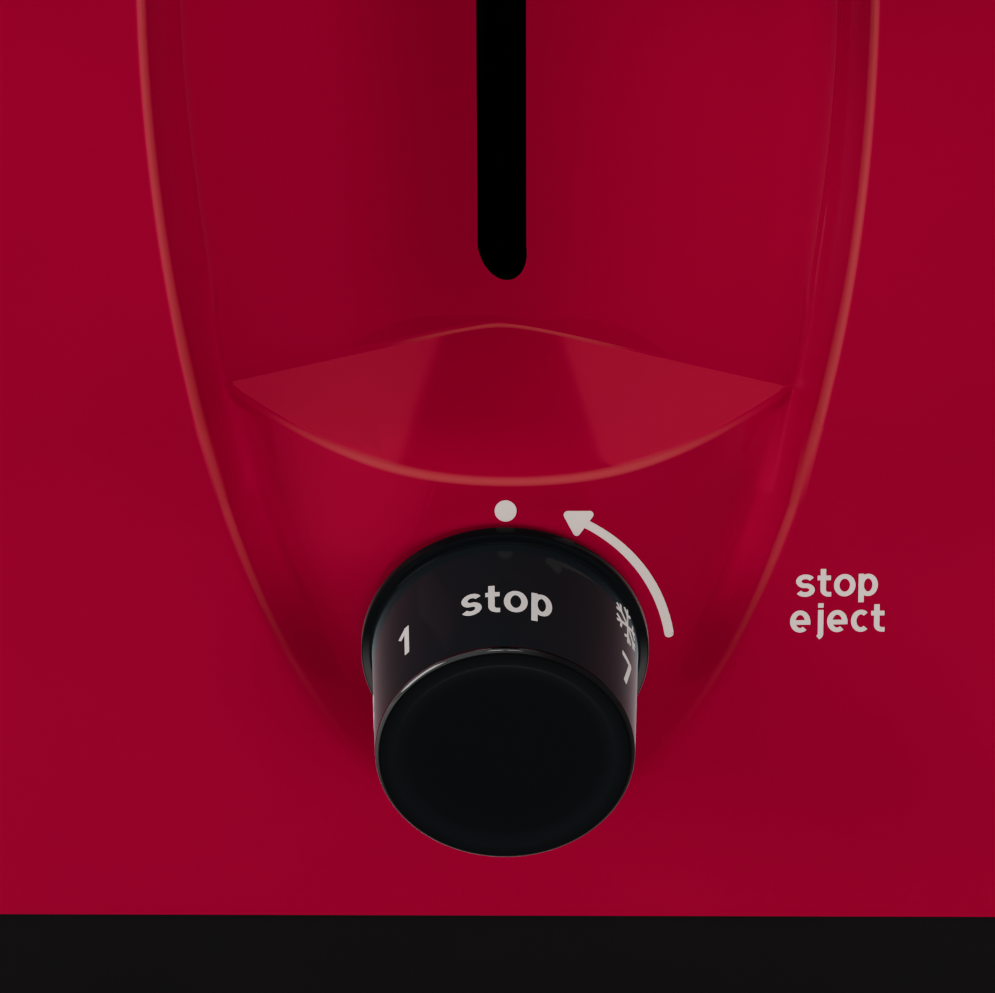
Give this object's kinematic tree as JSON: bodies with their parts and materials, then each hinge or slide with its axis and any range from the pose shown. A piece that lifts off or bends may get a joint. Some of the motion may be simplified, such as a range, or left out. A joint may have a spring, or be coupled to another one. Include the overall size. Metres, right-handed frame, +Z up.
{
  "type": "electric toaster",
  "caption": "Two-slice electric toaster with a lift lever, a turning browning knob and a crumb tray that pulls out at the back.",
  "frame": {"origin": "on the table, under the middle of the toaster's length with its lever, and the middle of its width", "axes": "+X to the right as seen from the control end, +Y from the control end to the back, +Z up"},
  "size_m": [0.17, 0.3, 0.18],
  "materials": {
    "red_plastic": "glossy dark red moulded plastic",
    "black_plastic": "satin black plastic",
    "gloss_black": "gloss black plastic with pale grey marks",
    "black_rubber": "matt rubber",
    "zinc_steel": "zinc plated sheet steel",
    "bright_steel": "bright steel",
    "dark_frame": "dark satin painted steel",
    "aluminium": "bright aluminised sheet",
    "mica": "pale brown mica sheet",
    "nichrome": "dark oxidised resistance ribbon",
    "copper": "enamelled copper wire",
    "brass": "bright brass",
    "board_green": "green circuit board",
    "ceramic_white": "white glazed ceramic"
  },
  "bodies": {
    "body": {"housing": "red_plastic", "top_frame": "dark_frame", "base": "black_plastic", "guide_rod": "bright_steel", "lift_spring": "bright_steel", "magnet_core": "zinc_steel", "magnet_coil": "copper", "front_plate": "zinc_steel", "rear_plate": "zinc_steel", "reflector_left": "aluminium", "reflector_right": "aluminium", "control_board": "board_green", "timer": "black_plastic", "contact_block": "black_plastic", "contact_leaf_upper": "brass", "contact_leaf_lower": "brass", "terminal_block": "ceramic_white", "cord_bush": "black_rubber", "heater_board_left": "mica", "heater_winding_left": "nichrome", "heater_board_middle": "mica", "heater_winding_middle": "nichrome", "heater_board_right": "mica", "heater_winding_right": "nichrome", "foot_1": "black_rubber", "base_screw_1": "zinc_steel", "chassis_screw_1": "zinc_steel", "foot_2": "black_rubber", "base_screw_2": "zinc_steel", "chassis_screw_2": "zinc_steel", "foot_3": "black_rubber", "base_screw_3": "zinc_steel", "chassis_screw_3": "zinc_steel", "foot_4": "black_rubber", "base_screw_4": "zinc_steel", "chassis_screw_4": "zinc_steel"},
    "lever": {"carriage": "zinc_steel", "lever_handle": "black_plastic", "bread_rest_left": "bright_steel", "bread_rest_right": "bright_steel", "armature": "bright_steel"},
    "knob": {"knob": "gloss_black", "timer_shaft": "aluminium"},
    "tray": {"crumb_tray": "aluminium", "tray_pull": "black_plastic"},
    "guard_1": {"guard_1": "bright_steel"},
    "guard_2": {"guard_2": "bright_steel"},
    "guard_3": {"guard_3": "bright_steel"},
    "guard_4": {"guard_4": "bright_steel"}
  },
  "joints": [
    {"name": "lever_slide", "type": "slide", "parent": "body", "child": "lever", "axis": [0, 0, -1], "range_m": [0, 0.056], "stiffness_N_per_m": 60, "springref_m": -0.06, "deforming": ["lift_spring"]},
    {"name": "knob_turn", "type": "hinge", "parent": "body", "child": "knob", "pos_m": [0, -0.126, 0.0584], "axis": [0, 1, 0], "range_deg": [0, 295]},
    {"name": "tray_slide", "type": "slide", "parent": "body", "child": "tray", "axis": [0, 1, 0], "range_m": [0, 0.185]},
    {"name": "guard_1_hinge", "type": "hinge", "parent": "body", "child": "guard_1", "pos_m": [-0.039, 0.034, 0.031], "axis": [0, 1, 0], "range_deg": [0, 4]},
    {"name": "guard_2_hinge", "type": "hinge", "parent": "body", "child": "guard_2", "pos_m": [-0.011, 0.034, 0.031], "axis": [0, -1, 0], "range_deg": [0, 4]},
    {"name": "guard_3_hinge", "type": "hinge", "parent": "body", "child": "guard_3", "pos_m": [0.011, 0.034, 0.031], "axis": [0, 1, 0], "range_deg": [0, 4]},
    {"name": "guard_4_hinge", "type": "hinge", "parent": "body", "child": "guard_4", "pos_m": [0.039, 0.034, 0.031], "axis": [0, -1, 0], "range_deg": [0, 4]}
  ],
  "couplings": [
    {"joint": "guard_1_hinge", "follows": "lever_slide", "rad_per_m": 1.2466},
    {"joint": "guard_2_hinge", "follows": "lever_slide", "rad_per_m": 1.2466},
    {"joint": "guard_3_hinge", "follows": "lever_slide", "rad_per_m": 1.2466},
    {"joint": "guard_4_hinge", "follows": "lever_slide", "rad_per_m": 1.2466}
  ]
}
